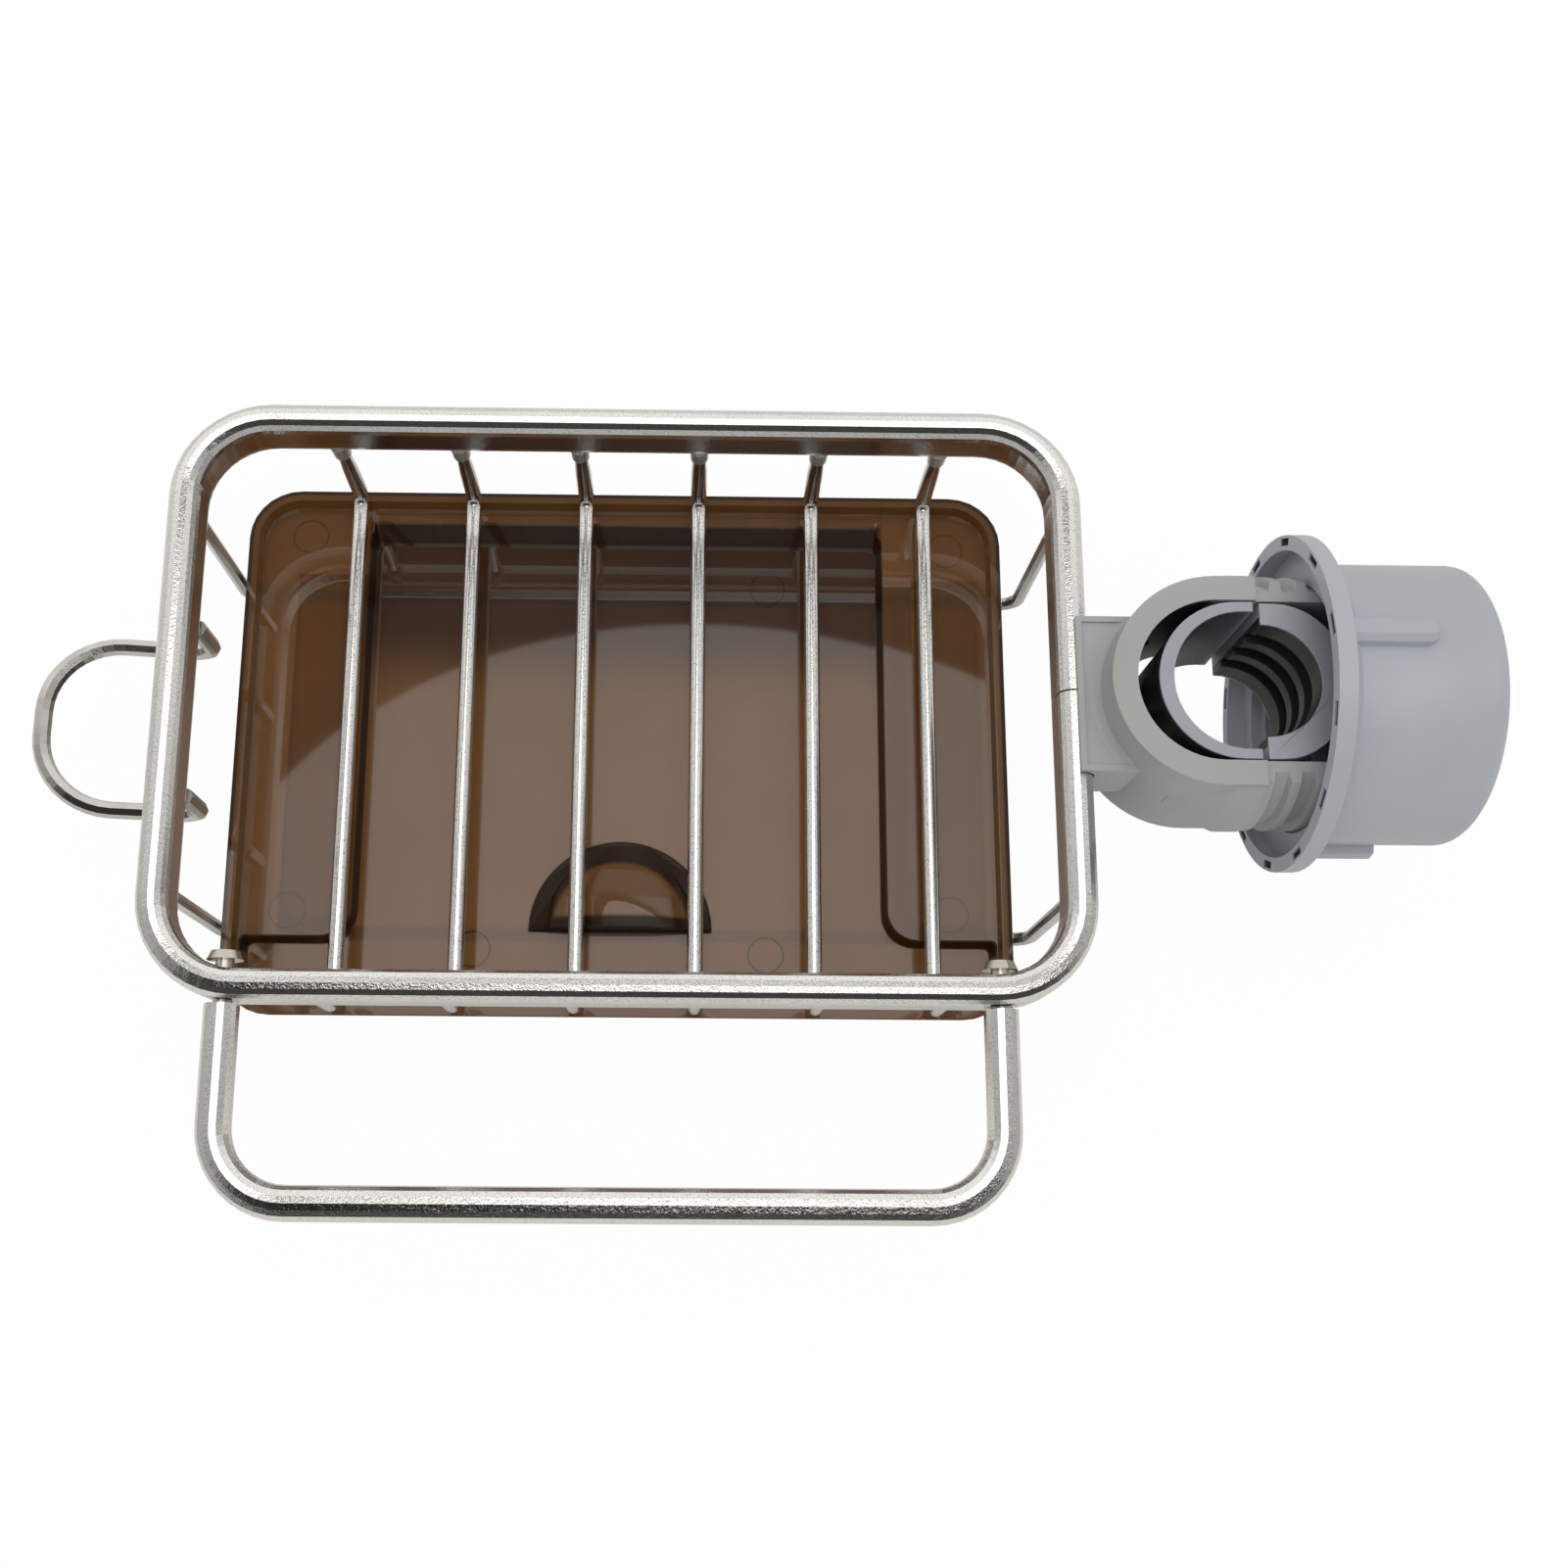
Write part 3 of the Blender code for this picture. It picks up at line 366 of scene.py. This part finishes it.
def smoked_plastic(name):
    material, sheet = new_material(name, (0.25, 0.16, 0.09))
    x, y = sheet.axes()[:2]
    within = sheet.band((x - tray_middle).size(), well_half_length + 0.0004, well_half_length - 0.0004)
    well = within.highest(sheet.band(y, channel_edge + 0.0004, channel_edge - 0.0004))
    wall = well_wall_painted_shade(sheet)
    colour = tray_tones(sheet, well, within)
    # Painted shade on the upright walls round the well
    colour = sheet.mix(wall, colour, (0.020, 0.009, 0.003))
    # Painted shade along the tray's outer wall
    colour = sheet.mix(outer_wall_painted_shade(sheet) * 0.85, colour, (0.035, 0.020, 0.012))
    # The finger pull: painted shade on its wall round a paler dome, with a glossy crest
    reach = reach_from(sheet, tray_middle, pull_front)
    pull = sheet.band(reach, pull_radius + 0.0006, pull_radius + 0.0002) * sheet.band(
        y, pull_front - 0.0005, pull_front - 0.0003)
    dome = sheet.band(reach, pull_dome_radius + 0.0006, pull_dome_radius - 0.0006) * sheet.band(
        y, pull_front + 0.0016, pull_front + 0.0026)
    crest = dome * sheet.band(y, pull_front + 0.0060, pull_front + 0.0052)
    colour = sheet.mix(pull, colour, (0.026, 0.009, 0.002))
    colour = sheet.mix(dome, colour, (0.165, 0.075, 0.022))
    gloss = (1.0 - pull * 0.92 + dome * 0.35 + crest * 0.57) * (1.0 - wall * 0.7)
    # Ejector marks and dust
    rings = ejector_rings(sheet)
    colour = sheet.mix(rings * (0.45 + well * 0.45), colour, (0.02, 0.012, 0.006))
    specks = sheet.band(sheet.noise(1500.0, 1.0), 0.80, 0.84)
    waves = sheet.bump(sheet.noise(26.0, 2.0), 1.0, 0.00018)
    volume = sheet.add('ShaderNodeVolumeAbsorption', {'Color': (0.60, 0.30, 0.05), 'Density': 260.0})
    finish_material(sheet, volume, Base_Color=colour, Roughness=0.30, IOR=1.45,
                    Specular_IOR_Level=0.0, Transmission_Weight=0.5,
                    Coat_Weight=gloss - specks * 0.6, Coat_Roughness=0.03, Coat_IOR=1.56,
                    Normal=sheet.bump(rings, 1.0, 0.00008, waves))
    return material


# Shapes

def pick(item):
    bpy.ops.object.select_all(action='DESELECT')
    item.hide_set(False)
    item.select_set(True)
    bpy.context.view_layer.objects.active = item


def copy_of(node, name, material):
    # A CAD node's mesh is loose triangles, so its copy is merged
    piece = bpy.data.objects.new(name, nodes[node].data.copy())
    bpy.context.scene.collection.objects.link(piece)
    pick(piece)
    piece.data.materials.clear()
    piece.data.materials.append(material)
    bpy.ops.mesh.customdata_custom_splitnormals_clear()
    bpy.ops.object.mode_set(mode='EDIT')
    bpy.ops.mesh.select_all(action='SELECT')
    bpy.ops.mesh.remove_doubles(threshold=0.000004)
    bpy.ops.object.mode_set(mode='OBJECT')
    return piece


def stand_in(piece, node, body):
    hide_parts(node)
    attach(piece, body)


def steeper_pull(mesh):
    # The pull's wall slopes outwards, and its dome rises from the front edge to a crest behind it
    for point in mesh.vertices:
        back = point.co.y - pull_front
        reach = math.hypot(point.co.x - tray_middle, back)
        if back < -0.0001 or reach > pull_radius + 0.0003 or point.co.z < tray_floor + 0.0004:
            continue
        outwards = (reach - pull_slope_start) / (pull_radius - pull_slope_start)
        point.co.z -= pull_slope_drop * min(1.0, max(0.0, outwards))
        if reach < pull_dome_edge and back < pull_crest:
            point.co.z += 0.0009 * back / pull_crest - 0.0004
        elif reach < pull_dome_edge:
            point.co.z -= 0.0003


def tray_form(mesh):
    steeper_pull(mesh)
    for point in mesh.vertices:
        across = abs(point.co.x - tray_middle)
        # The back ledge is level with the platforms, and a slope leads down to the well
        if (across < well_half_length - 0.0004 and 0.0438 < point.co.y < 0.0496
                and -0.0352 < point.co.z < -0.0335):
            point.co.z = ledge_height
            if point.co.y < 0.0460:
                point.co.y += ledge_shift
        # The hollows under the platforms keep clear of the back wall, the left one of the side wall too
        corner = math.hypot(max(0.0, across - tray_corner_side), max(0.0, point.co.y - tray_corner_back))
        hollow = across > 0.0517 and corner < 0.0070 and point.co.y > -0.0340 and point.co.z < -0.0335
        if hollow and point.co.y > 0.0420:
            point.co.y -= hollow_back_shift
        if hollow and point.co.x < tray_middle - 0.0640:
            point.co.x += hollow_side_shift


def fuller_wire(node, name, material):
    # A rounder copy of a CAD wire, as thick as the photographed one
    smoothed_radius = 0.0012
    piece = copy_of(node, name, material)
    bpy.ops.object.mode_set(mode='EDIT')
    bpy.ops.mesh.select_all(action='SELECT')
    bpy.ops.mesh.tris_convert_to_quads(face_threshold=math.radians(60.0),
                                       shape_threshold=math.radians(60.0))
    bpy.ops.object.mode_set(mode='OBJECT')
    rounder = piece.modifiers.new("rounder_section", 'SUBSURF')
    rounder.levels = 1
    bpy.ops.object.modifier_apply(modifier=rounder.name)
    thicker = piece.modifiers.new("fuller_section", 'DISPLACE')
    thicker.strength = wire_radius - smoothed_radius
    thicker.mid_level = 0.0
    bpy.ops.object.modifier_apply(modifier=thicker.name)
    bpy.ops.object.shade_smooth()
    stand_in(piece, node, "frame")


def softened(node, name, body, material, width, reshape=None):
    # A copy of a CAD moulding with its edges rounded
    edge_angle = math.radians(30.0)
    piece = copy_of(node, name, material)
    if reshape:
        reshape(piece.data)
    bevel = piece.modifiers.new("rounded_edges", 'BEVEL')
    bevel.width = width
    bevel.segments = 2
    bevel.limit_method = 'ANGLE'
    bevel.angle_limit = edge_angle
    bevel.use_clamp_overlap = True
    bpy.ops.object.modifier_apply(modifier=bevel.name)
    bpy.ops.object.shade_smooth_by_angle(angle=edge_angle)
    level = piece.modifiers.new("level_faces", 'WEIGHTED_NORMAL')
    level.keep_sharp = True
    bpy.ops.object.modifier_apply(modifier=level.name)
    stand_in(piece, node, body)


def weld(name, place, radius, spread, height):
    # A fillet of weld metal round a wire's end, widest at its top
    bpy.ops.object.select_all(action='DESELECT')
    bpy.ops.mesh.primitive_cylinder_add(vertices=24, radius=radius + spread, depth=height,
                                        location=(place[0], place[1], place[2] - height / 2))
    piece = bpy.context.object
    piece.name = name
    bpy.ops.object.mode_set(mode='EDIT')
    bpy.ops.mesh.select_all(action='SELECT')
    bpy.ops.mesh.subdivide(number_cuts=5)
    bpy.ops.object.mode_set(mode='OBJECT')
    for point in piece.data.vertices:
        drop = min(1.0, max(0.0, 0.5 - point.co.z / height))
        wanted = radius + 0.0001 + spread * (1.0 - drop) ** 2.2
        reach = math.hypot(point.co.x, point.co.y)
        if reach > 0.0:
            scale = wanted / reach
            if reach < radius + spread - 0.00001:
                scale = min(1.0, scale)
            point.co.x *= scale
            point.co.y *= scale
    pick(piece)
    bpy.ops.object.transform_apply(location=True, rotation=True, scale=True)
    bpy.ops.object.shade_smooth_by_angle(angle=math.radians(50.0))
    return piece


def dress(node, material):
    mesh = nodes[node].data
    mesh.materials.clear()
    mesh.materials.append(material)


# Finishes

# Painted shade for the clamp's gaps and hollows
painted_shade_tone = (0.03, 0.03, 0.033)
rim_finish = satin_metal("rim_satin_steel", (0.86, 0.855, 0.835), 0.15, 3300.0, 0.000028, 0.74)
wire_finish = satin_metal("wire_satin_steel", (0.92, 0.915, 0.895), 0.17, 2900.0, 0.000013, 0.64)
hook_finish = drawn_wire_metal("hook_drawn_steel", (0.68, 0.66, 0.63), 0.16)
screw_finish = drawn_wire_metal("screw_bright_steel", (0.66, 0.62, 0.55), 0.18)
body_finish = clamp_plastic("clamp_grey_plastic", (0.395, 0.41, 0.42),
                            (yoke_stain_zone, (0.40, 0.39, 0.32)), (yoke_inside_painted_shade, painted_shade_tone))
sleeve_finish = clamp_plastic("sleeve_grey_plastic", (0.37, 0.39, 0.44),
                              (sleeve_outside_painted_shade, painted_shade_tone),
                              (sleeve_inside_painted_shade, (0.055, 0.058, 0.066)))
saddle_finish = clamp_plastic("saddle_grey_plastic", (0.38, 0.40, 0.45),
                              (saddle_bore_zone, (0.024, 0.023, 0.025)))
nut_finish = clamp_plastic("nut_grey_plastic", (0.44, 0.468, 0.52), (nut_notch_painted_shade, (0.10, 0.10, 0.11)))
tray_finish = smoked_plastic("tray_smoked_plastic")
weld_finish = satin_metal("weld_pale_steel", (0.86, 0.85, 0.82), 0.5, 3600.0, 0.00005)


# Pieces

dress("rim_frame", rim_finish)
dress("towel_bar", rim_finish)
for wire_number in range(1, 7):
    node_name = "cross_wire_%d" % wire_number
    fuller_wire(node_name, node_name + "_round", wire_finish)
for rail in ("tray_rail_back", "tray_rail_front"):
    dress(rail, wire_finish)
dress("brush_hook", hook_finish)
for screw in ("towel_bar_screw_left", "towel_bar_screw_right", "clamp_screw_front", "clamp_screw_back"):
    dress(screw, screw_finish)

softened("drip_tray", "tray_moulding", "tray", tray_finish, 0.00045, tray_form)
softened("clamp_body", "clamp_moulding", "frame", body_finish, 0.0003)
softened("fixed_half_sleeve", "sleeve_moulding", "frame", sleeve_finish, 0.0003)
softened("pressing_half_sleeve", "saddle_moulding", "saddle", saddle_finish, 0.0003)
softened("clamp_nut", "nut_moulding", "nut", nut_finish, 0.0003)

# Weld fillets where the wires meet the rim
weld_height = 0.0040
weld_overlap = 0.0007
for wire_number in range(1, 7):
    low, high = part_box("cross_wire_%d" % wire_number)
    for side, along, spread in (("front", low.y + wire_radius, 0.0015),
                                ("back", high.y - wire_radius, 0.0003)):
        fillet = weld("cross_wire_%d_weld_%s" % (wire_number, side),
                      ((low.x + high.x) / 2, along, rim_underside + weld_overlap),
                      wire_radius, spread, weld_height)
        fillet.data.materials.append(weld_finish)
        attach(fillet, "frame")


# Studio

def build_floor():
    bpy.ops.object.select_all(action='DESELECT')
    bpy.ops.mesh.primitive_plane_add(size=8.0, location=(0.0, 0.0, floor_level))
    floor = bpy.context.object
    floor.name = "studio_floor"
    material, sheet = new_material("studio_floor_white", (0.9, 0.9, 0.9))
    # White paper to the eye, with a trace of shadow, and plain grey to reflections and light
    paper = sheet.add('ShaderNodeMixShader', {
        0: 0.97,
        1: sheet.add('ShaderNodeBsdfDiffuse', {'Color': (0.92, 0.92, 0.92)}),
        2: sheet.add('ShaderNodeEmission', {'Color': (1.0, 1.0, 1.0), 'Strength': 1.0})})
    grey = sheet.add('ShaderNodeBsdfDiffuse', {'Color': (0.88, 0.87, 0.85)})
    mixed = sheet.add('ShaderNodeMixShader', {0: sheet.shown_plainly(), 1: grey, 2: paper})
    sheet.end('ShaderNodeOutputMaterial', {'Surface': mixed})
    floor.data.materials.append(material)


def softbox(name, place, width, depth, turn, level):
    lamp = bpy.data.lights.new(name, 'AREA')
    lamp.shape = 'ELLIPSE'
    lamp.size = width
    lamp.size_y = depth
    lamp.color = (1.0, 0.97, 0.93)
    # A level of 1 makes the lamp's face as bright as plain white
    lamp.energy = level * math.pi * math.pi * width * depth / 4
    item = bpy.data.objects.new(name, lamp)
    item.location = place
    item.rotation_euler = (0.0, 0.0, turn)
    bpy.context.scene.collection.objects.link(item)


def build_world():
    world = bpy.data.worlds.new("studio_tent")
    world.use_nodes = True
    sheet = Sheet(world.node_tree)
    along, up = sheet.axes(sheet.add('ShaderNodeTexCoord', output='Generated'))[1:]
    # A bright wall behind the object, dimmer side walls, a dark front above a pale table edge,
    # and a dark ceiling round the lamp
    facing = along / (1.0 - up * up).highest(0.0004) ** 0.5
    back = sheet.band(facing, 0.05, 0.7)
    front = sheet.band(facing, -0.15, -0.6)
    front_level = 0.45 - sheet.band(up, 0.18, 0.34) * 0.40
    walls = (0.44 + back * 0.50) * (1.0 - front) + front * front_level
    mirrored = walls * (1.0 - sheet.band(up, 0.83, 0.89) * 0.92)
    # Matt surfaces see an even tent
    matt = sheet.add('ShaderNodeLightPath', output='Is Diffuse Ray')
    level = mirrored * (1.0 - matt) + matt * 0.60
    dim = sheet.add('ShaderNodeBackground', {'Color': (1.0, 0.99, 0.97), 'Strength': level})
    white = sheet.add('ShaderNodeBackground', {'Color': (1.0, 1.0, 1.0), 'Strength': 1.0})
    mixed = sheet.add('ShaderNodeMixShader', {0: sheet.shown_plainly(), 1: dim, 2: white})
    sheet.end('ShaderNodeOutputWorld', {'Surface': mixed})
    bpy.context.scene.world = world


def build_camera():
    # The place, lens and shift that were fitted to the photograph
    photo_width = 1601
    camera = bpy.data.cameras.new("photo_camera")
    camera.sensor_width = 36.0
    camera.lens = 38.73
    camera.shift_x = 71.5 / photo_width
    camera.shift_y = 66.9 / photo_width
    camera.clip_start = 0.01
    camera.clip_end = 50.0
    item = bpy.data.objects.new("photo_camera", camera)
    item.location = (-0.093425, -0.092929, 0.283331)
    item.rotation_euler = (0.228, -0.015, 0.006)
    bpy.context.scene.collection.objects.link(item)
    bpy.context.scene.camera = item


build_floor()
build_world()
softbox("top_softbox", (-0.021, 0.012, 1.0), 0.99, 0.79, math.radians(-19.2), 1.6)
build_camera()
bpy.context.scene.view_settings.view_transform = 'Standard'
